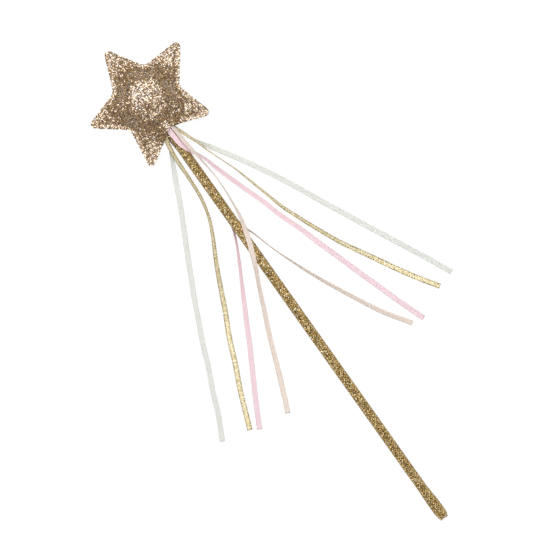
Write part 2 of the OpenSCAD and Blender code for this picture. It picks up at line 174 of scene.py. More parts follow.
def length(name, description, value):
    """A length property whose default is in millimetres."""
    return FloatProperty(
        name=name, description=description, unit="LENGTH", precision=5, min=0, default=value * MM
    )


def linear(value):
    """An sRGB hex colour as linear red, green, blue and alpha."""
    parts = [int(value[i : i + 2], 16) / 255 for i in (1, 3, 5)]
    return (*[c / 12.92 if c <= 0.04045 else ((c + 0.055) / 1.055) ** 2.4 for c in parts], 1)


class WandStarSettings(bpy.types.PropertyGroup):
    """The glitter star."""

    cell: length("Cloth cell", "Spacing of the panel's mesh", 1.15)
    fabric: length("Fabric", "Thickness of a panel", 0.6)
    flake: length("Flake", "Radius of one glitter flake", 0.4)
    spacing: length("Flake spacing", "Least distance between two flakes", 0.46)
    tilt: FloatProperty(
        name="Flake tilt", description="Spread of the flakes' tilt", subtype="ANGLE", default=math.radians(25)
    )
    pressure: FloatProperty(name="Filling", description="Pressure that puffs the panels", default=2.0)
    slack: FloatProperty(name="Slack", description="Share of spare fabric that puckers", default=0.03)
    stitch: length("Stitch", "Length of one stitch and its gap", 2.6)
    thread: length("Thread", "Radius of the sewing thread", 0.17)


class WandStickSettings(bpy.types.PropertyGroup):
    """The braid-covered stick."""

    carriers: IntProperty(name="Carriers", description="Strands that wind each way", default=12, min=4)
    lay: length("Lay", "Length of one turn of a strand", 24)
    strand: length("Strand", "Half width of a strand", 0.62)
    wave: length("Wave", "How far a strand rises and dips", 0.11)
    fray: IntProperty(name="Fray", description="Loose fibres at the butt", default=90, min=0)


class WandRibbonSettings(bpy.types.PropertyGroup):
    """The ribbons."""

    width: length("Width", "Width of a ribbon", 3.2)
    thickness: length("Thickness", "Thickness of a satin ribbon", 0.24)
    step: length("Step", "Spacing of the rows of a ribbon", 0.8)
    plait: IntProperty(name="Plait", description="Strands of a gold ribbon", default=5, min=3)
    scallop: length("Scallop", "Spacing of the gold ribbon's edge loops", 1.7)
    white: colour("White satin", "Colour of the white ribbons", "#d8dad4")
    pink: colour("Pink satin", "Colour of the pink ribbons", "#e8ccd3")
    peach: colour("Peach satin", "Colour of the peach ribbons", "#e2d3c8")


class WandStageSettings(bpy.types.PropertyGroup):
    """Camera, floor and light."""

    view_width: length("View", "Width that the camera sees", 336)
    view_x: FloatProperty(name="View X", description="Middle of the view", unit="LENGTH", default=3.18 * MM)
    view_y: FloatProperty(name="View Y", description="Middle of the view", unit="LENGTH", default=0.96 * MM)
    view_turn: FloatProperty(
        name="Turn", description="Turn of the picture", subtype="ANGLE", default=math.atan2(-0.5783, 0.8158)
    )
    distance: FloatProperty(name="Distance", description="Camera height", unit="LENGTH", default=1.5)
    key_power: FloatProperty(name="Key light", description="Power of the main softbox", default=29.0)
    fill_power: FloatProperty(name="Fill light", description="Power of the second softbox", default=5.9)
    floor: colour("Floor", "Colour of the table", "#f4f4f4")


# Materials


def add_node(tree, kind, inputs=(), stops=(), **settings):
    """Adds a shader node and returns its outputs.

    Its inputs are set to values or linked to other nodes' outputs. The stops of a colour ramp are pairs of
    place and sRGB hex colour.
    """
    made = tree.nodes.new("ShaderNode" + kind)
    for key, value in settings.items():
        setattr(made, key, value)
    for key, value in dict(inputs).items():
        if isinstance(value, bpy.types.NodeSocket):
            tree.links.new(value, made.inputs[key])
        else:
            made.inputs[key].default_value = value
    for _ in stops[2:]:
        made.color_ramp.elements.new(0.5)
    for n, (place, value) in enumerate(stops):
        element = made.color_ramp.elements[n]
        element.position, element.color = place, linear(value)
    return made.outputs


def new_material(name):
    """An empty material and its node tree."""
    material = bpy.data.materials.new(name)
    material.use_nodes = True
    material.node_tree.nodes.clear()
    return material, material.node_tree


def finish_material(material, inputs):
    """Gives a material its one shader, with the constants on the shader's own sockets."""
    shader = add_node(material.node_tree, "BsdfPrincipled", inputs)
    add_node(material.node_tree, "OutputMaterial", {"Surface": shader["BSDF"]})
    return material


def glitter_flake_material():
    """Polyester glitter: hexagons cut from champagne film.

    The film's metal layer lies under clear lacquer. It is given as a high index over brown, because its
    flashes are white.
    """
    material, tree = new_material("champagne_glitter_flakes")
    shade = add_node(tree, "Attribute", attribute_name="shade")["Fac"]
    stops = ((0.0, "#482e12"), (0.3, "#6e4e24"), (0.6, "#95703d"), (0.85, "#bc9458"), (1.0, "#e4c692"))
    tone = add_node(tree, "ValToRGB", {"Fac": shade}, stops)["Color"]
    return finish_material(material, {"Base Color": tone, "Metallic": 0.25, "Roughness": 0.15, "IOR": 3.2})


def glitter_backing_material():
    """The fabric under the flakes: a brown knit with clear glue and fine glitter dust of about 0.4 mm."""
    material, tree = new_material("glitter_backing")
    place = add_node(tree, "TexCoord")["Object"]
    dust = add_node(tree, "TexVoronoi", {"Vector": place, "Scale": 1 / (0.4 * MM)})["Color"]
    pick = add_node(tree, "SeparateColor", {"Color": dust})
    stops = ((0.0, "#5c3f1e"), (0.5, "#836235"), (0.85, "#a07c4a"), (1.0, "#cdae7c"))
    tone = add_node(tree, "ValToRGB", {"Fac": pick["Red"]}, stops)["Color"]
    gloss = add_node(tree, "MapRange", {"Value": pick["Green"], "To Min": 0.3, "To Max": 0.6})["Result"]
    bump = add_node(tree, "Bump", {"Strength": 0.7, "Distance": 0.2 * MM, "Height": pick["Blue"]})["Normal"]
    return finish_material(
        material, {"Base Color": tone, "Metallic": 0.15, "IOR": 2.0, "Roughness": gloss, "Normal": bump}
    )


def wadding_material():
    """Polyester wadding: matt white fibres, drawn about 0.5 mm thick so that they show."""
    material, tree = new_material("polyester_wadding")
    place = add_node(tree, "TexCoord")["Object"]
    grain = {"Vector": place, "Scale": 1 / (2 * MM), "Detail": 6, "Distortion": 2.5}
    fibre = add_node(tree, "TexNoise", grain)["Fac"]
    tone = add_node(tree, "ValToRGB", {"Fac": fibre}, ((0.3, "#dcd8cf"), (0.7, "#faf8f3")))["Color"]
    bump = add_node(tree, "Bump", {"Strength": 0.8, "Distance": 0.5 * MM, "Height": fibre})["Normal"]
    return finish_material(
        material, {"Base Color": tone, "Roughness": 0.95, "Sheen Weight": 0.4, "Normal": bump}
    )


def thread_material():
    """Twisted polyester thread: satin, with plies of about 0.3 mm that show as a slanting ripple."""
    material, tree = new_material("sewing_thread")
    grain = {"Vector": add_node(tree, "TexCoord")["Object"], "Scale": 1 / (1.2 * MM)}
    ply = add_node(tree, "TexWave", grain, bands_direction="DIAGONAL")["Fac"]
    tone = add_node(tree, "ValToRGB", {"Fac": ply}, ((0.1, "#9a7a45"), (0.8, "#d2b277")))["Color"]
    return finish_material(material, {"Base Color": tone, "Roughness": 0.45, "Sheen Weight": 0.2})


def film_flecks(tree, across, along):
    """Random colours of a strand's film turns: so many across it, and so many on a millimetre along it."""
    strand = add_node(tree, "UVMap", uv_map="strand")["UV"]
    grain = add_node(tree, "Mapping", {"Vector": strand, "Scale": (across, along, 1)})["Vector"]
    return add_node(tree, "TexVoronoi", {"Vector": grain, "Scale": 1.0})["Color"]


def sleeve_material():
    """Metallic braid: slit gold film twisted round thread, which glitters in short flecks along a strand."""
    material, tree = new_material("gold_metallic_braid")
    fleck = film_flecks(tree, 3.0, 2.0)
    pick = add_node(tree, "SeparateColor", {"Color": fleck})
    stops = ((0.0, "#7c5e2e"), (0.3, "#a8884e"), (0.6, "#c6a96c"), (0.85, "#e2cb96"), (1.0, "#fbf0d4"))
    tone = add_node(tree, "ValToRGB", {"Fac": pick["Red"]}, stops)["Color"]
    gloss = add_node(tree, "MapRange", {"Value": pick["Green"], "To Min": 0.15, "To Max": 0.45})["Result"]
    # each fleck leans its own way, most of them by less than 30 degrees
    lean = add_node(tree, "VectorMath", {0: fleck, 1: (0.5, 0.5, 0.5)}, operation="SUBTRACT")[0]
    facing = add_node(tree, "VectorMath", {0: add_node(tree, "NewGeometry")["Normal"], 1: lean})[0]
    facing = add_node(tree, "VectorMath", {0: facing}, operation="NORMALIZE")[0]
    return finish_material(
        material, {"Base Color": tone, "Metallic": 0.7, "Roughness": gloss, "Normal": facing}
    )


def gold_ribbon_material():
    """Pale metallic plait: soft strands with fine film turns of about 0.6 mm."""
    material, tree = new_material("pale_gold_plait")
    pick = add_node(tree, "SeparateColor", {"Color": film_flecks(tree, 2.0, 1.6)})
    # painted shade: the gaps between the loops at the ribbon's edges are darkened where shade falls between
    # them
    gap = add_node(tree, "Attribute", attribute_name="gap")["Fac"]
    shade = add_node(tree, "MapRange", {"Value": gap, "To Min": 0.3, "To Max": -0.6})["Result"]
    shade = add_node(tree, "Math", {0: pick["Red"], 1: 0.7, 2: shade}, operation="MULTIPLY_ADD")[0]
    stops = ((0.0, "#75643a"), (0.35, "#c4b382"), (0.7, "#decfa8"), (1.0, "#f8f1de"))
    tone = add_node(tree, "ValToRGB", {"Fac": shade}, stops)["Color"]
    bump = add_node(tree, "Bump", {"Strength": 0.4, "Distance": 0.1 * MM, "Height": pick["Blue"]})["Normal"]
    return finish_material(material, {"Base Color": tone, "Metallic": 0.35, "Roughness": 0.5, "Normal": bump})


def satin_material(name, base):
    """Polyester satin ribbon: long warp floats that shine softly, and a denser woven edge.

    Warp threads are drawn 0.2 mm apart, coarser than the real ones, so that they show. Some light passes
    through the thin weave.
    """
    material, tree = new_material(name)
    across = add_node(tree, "UVMap", uv_map="ribbon")["UV"]
    grain = {"Vector": across, "Scale": 5.0, "Distortion": 0.6, "Detail": 1}
    warp = add_node(tree, "TexWave", grain, bands_direction="X", wave_profile="SIN")["Fac"]
    # the shading drifts along the ribbon as its floats catch more or less light
    drift = add_node(tree, "TexNoise", {"Vector": across, "Scale": 0.35, "Detail": 2})["Fac"]
    drift = add_node(tree, "MapRange", {"Value": drift, "To Min": 0.0, "To Max": 0.35})["Result"]
    edge = add_node(tree, "SeparateXYZ", {"Vector": across})["X"]
    edge = add_node(tree, "Math", {0: edge, 1: 0.5}, operation="SUBTRACT")[0]
    edge = add_node(tree, "Math", {0: edge}, operation="ABSOLUTE")[0]
    border = {"Value": edge, "From Min": 0.38, "From Max": 0.47}
    selvedge = add_node(tree, "MapRange", border, interpolation_type="SMOOTHSTEP")["Result"]
    light, dark = (*base, 1), (*(c * 0.86 for c in base), 1)
    weave = dark
    for share, shade in ((warp, light), (drift, light), (selvedge, dark)):
        layer = {"Factor": share, "A": weave, "B": shade}
        weave = add_node(tree, "Mix", layer, data_type="RGBA")["Result"]
    bump = add_node(tree, "Bump", {"Strength": 0.1, "Distance": 0.05 * MM, "Height": warp})["Normal"]
    return finish_material(material, {
        "Base Color": weave, "Roughness": 0.6, "Specular IOR Level": 0.35, "Subsurface Weight": 0.5,
        "Subsurface Radius": (1, 1, 1), "Subsurface Scale": 0.6 * MM, "Normal": bump,
    })


def beech_material():
    """Beech dowel: pale, straight-grained wood with short dark flecks along the stick."""
    material, tree = new_material("beech_dowel")
    place = add_node(tree, "TexCoord")["Object"]
    # grain lines 0.6 mm apart that run 14 mm along the stick
    fine, coarse = 1 / (0.625 * MM), 1 / (14.3 * MM)
    stretch = add_node(tree, "Mapping", {"Vector": place, "Scale": (fine, coarse, fine)})["Vector"]
    grain = add_node(tree, "TexNoise", {"Vector": stretch, "Scale": 1.0, "Detail": 4})["Fac"]
    tone = add_node(tree, "ValToRGB", {"Fac": grain}, ((0.3, "#a97f4f"), (0.7, "#d8b98a")))["Color"]
    bump = add_node(tree, "Bump", {"Strength": 0.3, "Distance": 0.1 * MM, "Height": grain})["Normal"]
    return finish_material(material, {"Base Color": tone, "Roughness": 0.6, "Normal": bump})


# Shapes


def placed(x, y, z=0.0):
    """A point of the solids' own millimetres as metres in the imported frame."""
    return (Vector((x, y, z)) - MIDDLE) * MM


def new_piece(name, data, *materials):
    """An object for finished data, such as a mesh, with its materials."""
    obj = bpy.data.objects.new(name, data)
    bpy.context.scene.collection.objects.link(obj)
    for material in materials:
        data.materials.append(material)
    return obj


def new_mesh(name, bm):
    """A mesh from a bmesh, which is freed."""
    mesh = bpy.data.meshes.new(name)
    bm.to_mesh(mesh)
    bm.free()
    return mesh


def evaluated_mesh(obj):
    """The mesh of an object with its modifiers applied; the object is removed."""
    bpy.context.view_layer.update()
    graph = bpy.context.evaluated_depsgraph_get()
    mesh = bpy.data.meshes.new_from_object(obj.evaluated_get(graph))
    bpy.data.objects.remove(obj)
    return mesh


def get_points(mesh, field="co"):
    """A mesh's vertices, or their normals, as rows of x, y and z."""
    values = np.empty(len(mesh.vertices) * 3)
    mesh.vertices.foreach_get(field, values)
    return values.reshape(-1, 3)


def set_points(mesh, co):
    """Moves a mesh's vertices."""
    mesh.vertices.foreach_set("co", np.ascontiguousarray(co, dtype=np.float32).ravel())
    mesh.update()


def smooth_faces(mesh, smooth=True):
    """Shades every face of a mesh smooth or flat."""
    mesh.polygons.foreach_set("use_smooth", [smooth] * len(mesh.polygons))


def set_values(mesh, name, values):
    """A named value for each vertex, for a material to read."""
    layer = mesh.attributes.new(name, "FLOAT", "POINT")
    layer.data.foreach_set("value", values.ravel().astype(np.float32))


def set_uv(mesh, name, uv):
    """A UV map from one pair of values for each vertex."""
    layer = mesh.uv_layers.new(name=name)
    index = np.empty(len(mesh.loops), dtype=np.int32)
    mesh.loops.foreach_get("vertex_index", index)
    layer.data.foreach_set("uv", np.ascontiguousarray(uv[index], dtype=np.float32).ravel())


def strand_mesh(name, lines, radius, sides=4):
    """Round strands along lines of equal point count; the mesh's points lie line by line, ring by ring."""
    curve = bpy.data.curves.new(name, "CURVE")
    curve.dimensions = "3D"
    curve.bevel_depth = radius
    curve.bevel_resolution = max(0, (sides - 4) // 2)
    for line in lines:
        spline = curve.splines.new("POLY")
        spline.points.add(len(line) - 1)
        spline.points.foreach_set("co", np.column_stack([line, np.ones(len(line))]).ravel())
    mesh = evaluated_mesh(new_piece(name, curve))
    bpy.data.curves.remove(curve)
    bm = bmesh.new()
    bm.from_mesh(mesh)
    bmesh.ops.holes_fill(bm, edges=[e for e in bm.edges if e.is_boundary], sides=0)
    bm.to_mesh(mesh)
    bm.free()
    return mesh


def set_strand_uv(mesh, count, along, shift):
    """UVs of a strand mesh: across a strand, and along it in millimetres, shifted from strand to strand."""
    sides = len(mesh.vertices) // (count * len(along))
    uv = np.empty((count, len(along), sides, 2))
    uv[..., 0] = np.abs(np.arange(sides) - sides / 2) / sides * 2
    uv[..., 1] = along[None, :, None] + shift * np.arange(count)[:, None, None]
    set_uv(mesh, "strand", uv.reshape(-1, 2))


def set_on_stick(mesh, points):
    """Moves a mesh's vertices to points in millimetres in the stick's frame, whose +Z runs from the butt."""
    set_points(mesh, points * MM)
    mesh.transform(Matrix.Translation(placed(*BUTT)) @ Matrix.Rotation(LAY_ANGLE - math.pi / 2, 4, "X"))
    smooth_faces(mesh)
    return mesh


def distances(points):
    """Distance of each point from the first, along the line of points."""
    return np.concatenate([[0], np.cumsum(np.linalg.norm(np.diff(points, axis=0), axis=1))])


def ray_finder(mesh):
    """A ray search of a mesh."""
    bm = bmesh.new()
    bm.from_mesh(mesh)
    tree = BVHTree.FromBMesh(bm)
    bm.free()
    return tree


def outer_height(finder, x, y, side, missing):
    """Height of a mesh's upper or lower face at a point, in millimetres."""
    spot = placed(x, y)
    hit = finder.ray_cast(Vector((spot.x, spot.y, side * 0.1)), Vector((0, 0, -side)))[0]
    return hit.z / MM if hit else missing


def nearest_finder(points):
    """A search tree of points in the plane."""
    tree = kdtree.KDTree(len(points))
    for n, p in enumerate(points):
        tree.insert((*p, 0), n)
    tree.balance()
    return tree


def spread_out(spots, spacing):
    """Indices of points, in order, that lie at least a spacing from those before them."""
    cells, kept = {}, []
    keys = np.floor(spots / spacing).astype(int)
    for n, (i, j, k) in enumerate(keys.tolist()):
        near = (
            m for a in (i - 1, i, i + 1) for b in (j - 1, j, j + 1) for c in (k - 1, k, k + 1)
            for m in cells.get((a, b, c), ())
        )
        if all(((spots[n] - spots[m]) ** 2).sum() >= spacing**2 for m in near):
            cells.setdefault((i, j, k), []).append(n)
            kept.append(n)
    return np.array(kept)


# The star's outline, as in the solids


def heading(angle):
    """A unit vector in the plane, from an angle in degrees."""
    return np.array((math.cos(math.radians(angle)), math.sin(math.radians(angle))))


def arm_angle(i):
    """Direction of arm i."""
    return 90 + STAR_TURN + 360 / ARMS * i + ARM_SLIP[i % ARMS]


def tip_centre(i):
    """Centre of the rounding of tip i."""
    return (STAR_R + ARM_STRETCH[i % ARMS] - TIP_ROUND) * heading(arm_angle(i))


def notch_centre(i):
    """Centre of the rounding of the notch after arm i."""
    return (NOTCH_R + NOTCH_ROUND) * heading(90 + STAR_TURN + 360 / ARMS * (i + 0.5))


def edge_angle(i, k, side):
    """Direction that the straight edge between tip i and notch k faces."""
    v = notch_centre(k) - tip_centre(i)
    turn = math.degrees(math.atan2(v[1], v[0])) - arm_angle(i)
    turn -= 360 * round(turn / 360)
    lean = math.degrees(math.acos((TIP_ROUND + NOTCH_ROUND) / np.linalg.norm(v)))
    return arm_angle(i) + turn - side * lean


def star_outline(inset, spacing):
    """Points of the star's outline, an inset inside the cut edge, an even spacing apart, in millimetres."""
    points = []
    share = np.arange(ROUND_POINTS) / (ROUND_POINTS - 1)
    for i in range(ARMS):
        before, after, following = edge_angle(i, i - 1, -1), edge_angle(i, i, 1), edge_angle(i + 1, i, -1)
        for angle in before + (after - before) * share:
            points.append(tip_centre(i) + (TIP_ROUND - inset) * heading(angle))
        for angle in after + (following - after) * share:
            points.append(notch_centre(i) - (NOTCH_ROUND + inset) * heading(angle))
    ring = np.array(points + points[:1])
    reach = distances(ring)
    at = np.linspace(0, reach[-1], max(3, round(reach[-1] / spacing)), endpoint=False)
    return np.column_stack([np.interp(at, reach, ring[:, k]) for k in (0, 1)])


def star_cells(cell):
    """Triangles that fill the star: the cut edge, the seam line and an even scatter between them."""
    edge = star_outline(0.02, cell)
    seam = star_outline(SEAM_BORDER, cell)
    loops = nearest_finder(np.vstack([edge, seam]))
    reach = STAR_R + 3
    row = cell * TRIANGLE_ROW
    scatter = []
    for r in range(int(2 * reach / row)):
        for c in range(int(2 * reach / cell)):
            p = (-reach + (c + 0.5 * (r % 2)) * cell, -reach + r * row)
            if loops.find((*p, 0))[2] > 0.55 * cell:
                scatter.append(p)
    points = [Vector(p) for p in (*edge, *seam, *scatter)]
    n = len(edge)
    borders = [(i, (i + 1) % n) for i in range(n)]
    borders += [(n + i, n + (i + 1) % len(seam)) for i in range(len(seam))]
    made = geometry.delaunay_2d_cdt(points, borders, [], 1, 1e-5)
    # points outside the star belong to no triangle and are left out
    used, cells = np.unique(np.array(made[2]), return_inverse=True)
    return np.array([tuple(v) for v in made[0]])[used], cells.reshape(-1, 3).tolist()


def outline_distance(points, inset):
    """Distance of points from the outline at an inset, in millimetres."""
    tree = nearest_finder(star_outline(inset, OUTLINE_STEP))
    return np.array([tree.find((x, y, 0))[2] for x, y in points])


def border_wave(x, y):
    """How far the loose border waves, the same for both panels, in millimetres."""
    return 0.45 * noise.noise(Vector((x / 7, y / 7, 3.7)))


# Ribbon routes


class RibbonLine:
    """A ribbon's smooth centre line with its frame, in even steps from inside the star's mouth."""

    def __init__(self, row, step):
        self.name, slot, root_roll, tail_at, chosen = row
        turn = SLOT_ANGLE * slot
        x, rise = RING_R * math.sin(turn), RING_R * math.cos(turn)
        root = [(x, y, SEAM_Z + (y - MOUTH_Y) * math.tan(LAY_ANGLE) + rise, root_roll) for y in ROOT_Y]
        route = [(*mark, LIE_HEIGHT, 0)[:4] for mark in chosen]
        self.step = step
        fine, fine_mark = self.curved(np.array([*root, *route], float))
        reach = distances(fine[:, :3])
        self.length = reach[-1] * MM
        self.rows = max(2, round(self.length / step)) + 1
        at = np.linspace(0, reach[-1], self.rows)
        even = np.column_stack([np.interp(at, reach, fine[:, k]) for k in range(4)])
        self.hinge = int(round(np.interp(tail_at, fine_mark, reach) / reach[-1] * (self.rows - 1)))
        self.points = (even[:, :3] - np.array(MIDDLE)) * MM
        tangent = np.gradient(self.points, axis=0)
        tangent /= np.linalg.norm(tangent, axis=1, keepdims=True)
        side = np.cross((0, 0, 1), tangent)
        side /= np.linalg.norm(side, axis=1, keepdims=True)
        up = np.cross(tangent, side)
        roll = np.radians(even[:, 3:])
        self.across = -(np.cos(roll) * side + np.sin(roll) * up)
        self.face = np.cos(roll) * up - np.sin(roll) * side

    @staticmethod
    def curved(marks):
        """A curve through the marks, finely divided, and the mark number at each of its points."""
        gap = np.linalg.norm(np.diff(marks[:, :3], axis=0), axis=1)
        slope = np.diff(marks, axis=0) / gap[:, None]
        lean = np.vstack([slope[:1], slope[1:], slope[-1:]])
        before, after = gap[:-1, None], gap[1:, None]
        lean[1:-1] = (slope[:-1] * after + slope[1:] * before) / (after + before)
        out, number = [], []
        for i, g in enumerate(gap):
            t = np.linspace(0, 1, 16, endpoint=False)[:, None]
            out.append(
                (2 * t**3 - 3 * t**2 + 1) * marks[i] + (t**3 - 2 * t**2 + t) * g * lean[i]
                + (3 * t**2 - 2 * t**3) * marks[i + 1] + (t**3 - t**2) * g * lean[i + 1]
            )
            number.append(i + t[:, 0])
        return np.vstack([*out, marks[-1:]]), np.concatenate([*number, [len(gap)]])

    def lay(self, flat):
        """Moves flat points, as across, along and face in metres, onto the route."""
        at = np.clip(flat[:, 1] / self.length, 0, 1) * (self.rows - 1)
        low = np.minimum(at.astype(int), self.rows - 2)
        part = (at - low)[:, None]
        spot, across, face = (
            a[low] * (1 - part) + a[low + 1] * part for a in (self.points, self.across, self.face)
        )
        return spot + flat[:, :1] * across + flat[:, 2:] * face


def finish_ribbon(obj, line):
    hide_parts(line.name + "_ribbon_root", line.name + "_ribbon_tail")
    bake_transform(obj)


def add_ribbons(settings, finishes, shape):
    """Makes the ribbons whose kind has a finish, with a function that shapes one along its line."""
    for row in RIBBONS:
        kind = row[0].split("_")[0]
        if kind in finishes:
            line = RibbonLine(row, settings.step)
            obj = new_piece(row[0] + "_ribbon", shape(line, settings), finishes[kind])
            finish_ribbon(obj, line)


# Operators


class WAND_OT_stage(bpy.types.Operator):
    """Sets the camera straight above the table, the pale floor and the soft studio light"""

    bl_idname = "wand.stage"
    bl_label = "Stage"

    def execute(self, context):
        settings = context.scene.wand_stage
        scene = context.scene
        scene.view_settings.view_transform = "Standard"
        scene.camera = self.new_camera(settings)
        scene.world = self.new_world()
        self.add_floor(settings)
        turn = settings.view_turn
        up = Vector((-math.sin(turn), math.cos(turn), 0))
        right = Vector((math.cos(turn), math.sin(turn), 0))
        for name, (rise, aside, height, size), power in (
            ("key_softbox", KEY_BOX, settings.key_power),
            ("fill_softbox", FILL_BOX, settings.fill_power),
        ):
            self.add_softbox(name, rise * up + aside * right + Vector((0, 0, height)), size, power)
        return {"FINISHED"}

    @staticmethod
    def new_camera(settings):
        """A camera that looks straight down and sees the view's width at the wand's middle height."""
        data = bpy.data.cameras.new("camera")
        data.sensor_width = 36
        data.lens = data.sensor_width * settings.distance / settings.view_width
        camera = new_piece("camera", data)
        camera.location = (settings.view_x, settings.view_y, VIEW_HEIGHT * MM + settings.distance)
        camera.rotation_euler = (0, 0, settings.view_turn)
        return camera

    @staticmethod
    def add_floor(settings):
        """A white table that the camera and mirrors see as paper white, with a part of the shadow's depth."""
        bm = bmesh.new()
        bmesh.ops.create_grid(bm, x_segments=1, y_segments=1, size=6)
        material, tree = new_material("white_table")
        lit = add_node(tree, "BsdfDiffuse", {"Color": (*settings.floor, 1)})[0]
        pale = (*(FLOOR_SHADE * c for c in settings.floor), 1)
        shaded = add_node(tree, "BsdfDiffuse", {"Color": pale})[0]
        glow = add_node(tree, "Emission", {"Color": (1, 1, 1, 1), "Strength": FLOOR_GLOW})[0]
        paper = add_node(tree, "AddShader", {0: shaded, 1: glow})[0]
        ray = add_node(tree, "LightPath")
        seen = ray["Is Camera Ray"]
        for other in ("Is Glossy Ray", "Is Transmission Ray"):
            seen = add_node(tree, "Math", {0: seen, 1: ray[other]}, operation="MAXIMUM")[0]
        both = add_node(tree, "MixShader", {0: seen, 1: lit, 2: paper})[0]
        add_node(tree, "OutputMaterial", {"Surface": both})
        floor = new_piece("floor", new_mesh("floor", bm), material)

    @staticmethod
    def new_world():
        """A grey room that is darker towards the horizon."""
        world = bpy.data.worlds.new("studio")
        world.use_nodes = True
        tree = world.node_tree
        tree.nodes.clear()
        height = add_node(tree, "SeparateXYZ", {"Vector": add_node(tree, "TexCoord")["Generated"]})["Z"]
        stops = ((0.0, "#6c6a68"), (0.3, "#72706e"), (0.7, "#949494"), (1.0, "#c0c0c2"))
        tone = add_node(tree, "ValToRGB", {"Fac": height}, stops)["Color"]
        sky = add_node(tree, "Background", {"Color": tone, "Strength": 1.0})[0]
        add_node(tree, "OutputWorld", {"Surface": sky})
        return world

    @staticmethod
    def add_softbox(name, place, size, power):
        """A square light that faces the wand."""
        data = bpy.data.lights.new(name, "AREA")
        data.shape = "SQUARE"
        data.size = size
        data.energy = power
        lamp = new_piece(name, data)
        lamp.location = place
        lamp.rotation_euler = (-place).to_track_quat("-Z", "Y").to_euler()


class WAND_OT_satin_ribbons(bpy.types.Operator):
    """Weaves the white, pink and peach satin ribbons"""

    bl_idname = "wand.satin_ribbons"
    bl_label = "Satin ribbons"

    def execute(self, context):
        settings = context.scene.wand_ribbon
        finishes = {
            name: satin_material(name + "_satin", tuple(getattr(settings, name)))
            for name in ("white", "pink", "peach")
        }
        add_ribbons(settings, finishes, self.woven)
        return {"FINISHED"}

    @staticmethod
    def woven(line, settings):
        """A flat strip with a fuller selvedge along both edges, laid along its route."""
        width, columns = settings.width, 8
        bm = bmesh.new()
        bmesh.ops.create_grid(bm, x_segments=columns, y_segments=line.rows - 1, size=0.5)
        stretch = Matrix.Diagonal((width, line.length, 1, 1))
        forward = Matrix.Translation((0, line.length / 2, 0))
        bmesh.ops.transform(bm, matrix=forward @ stretch, verts=bm.verts)
        bmesh.ops.recalc_face_normals(bm, faces=bm.faces)
        bmesh.ops.solidify(bm, geom=bm.faces[:], thickness=settings.thickness)
        mesh = new_mesh(line.name, bm)
        flat = get_points(mesh)
        flat[:, 2] -= (flat[:, 2].max() + flat[:, 2].min()) / 2
        edge = np.abs(flat[:, 0]) / (width / 2)
        rim, selvedge = edge > 0.99, edge > 0.7
        flat[:, 2] *= np.where(rim, 0.55, np.where(selvedge, 1.3, 1.0))
        set_uv(mesh, "ribbon", np.column_stack([flat[:, 0] / width + 0.5, flat[:, 1] / width]))
        set_points(mesh, line.lay(flat))
        smooth_faces(mesh)
        return mesh


class WAND_OT_gold_ribbons(bpy.types.Operator):
    """Plaits the two pale gold ribbons from flat metallic strands"""

    bl_idname = "wand.gold_ribbons"
    bl_label = "Gold ribbons"

    def execute(self, context):
        add_ribbons(context.scene.wand_ribbon, {"gold": gold_ribbon_material()}, self.plaited)
        return {"FINISHED"}

    @staticmethod
    def plaited(line, settings):
        """Strands that cross from edge to edge, over and under, laid along the route."""
        strand, thin, rise, margin, row = 0.58 * MM, 0.24, 0.11 * MM, 0.45 * MM, 0.55 * MM
        sharp = 0.97  # how sharply a strand turns back at the edge
        count = settings.plait
        period = count * settings.scallop
        reach = settings.width / 2 - margin
        along = np.linspace(0, line.length, round(line.length / row))
        lines = []
        for k in range(count):
            phase = math.tau * (along / period + k / count)
            swing = np.arcsin(sharp * np.sin(phase)) / math.asin(sharp)
            way = np.clip(3 * np.cos(phase), -1, 1)
            over = rise * way * np.cos(math.tau * along * count / period + math.pi / 2)
            lines.append(np.column_stack([reach * swing, along, over]))
        mesh = strand_mesh(line.name, lines, strand, 6)
        set_strand_uv(mesh, count, along / MM, 17.3)
        flat = get_points(mesh).reshape(count, len(along), -1, 3)
        middle = np.array(lines)[:, :, None, 2]
        flat[..., 2] = middle + (flat[..., 2] - middle) * thin
        # painted shade: how dark the material paints the gaps between the loops at the ribbon's edges
        edge = np.clip((np.abs(flat[..., 0]) / reach - 0.55) / 0.3, 0, 1)
        turn = math.tau * (flat[..., 1] / settings.scallop - 0.25 * np.sign(flat[..., 0]))
        set_values(mesh, "gap", edge * np.clip(-1.5 * np.cos(turn), 0, 1))
        set_points(mesh, line.lay(flat.reshape(-1, 3)))
        smooth_faces(mesh)
        return mesh


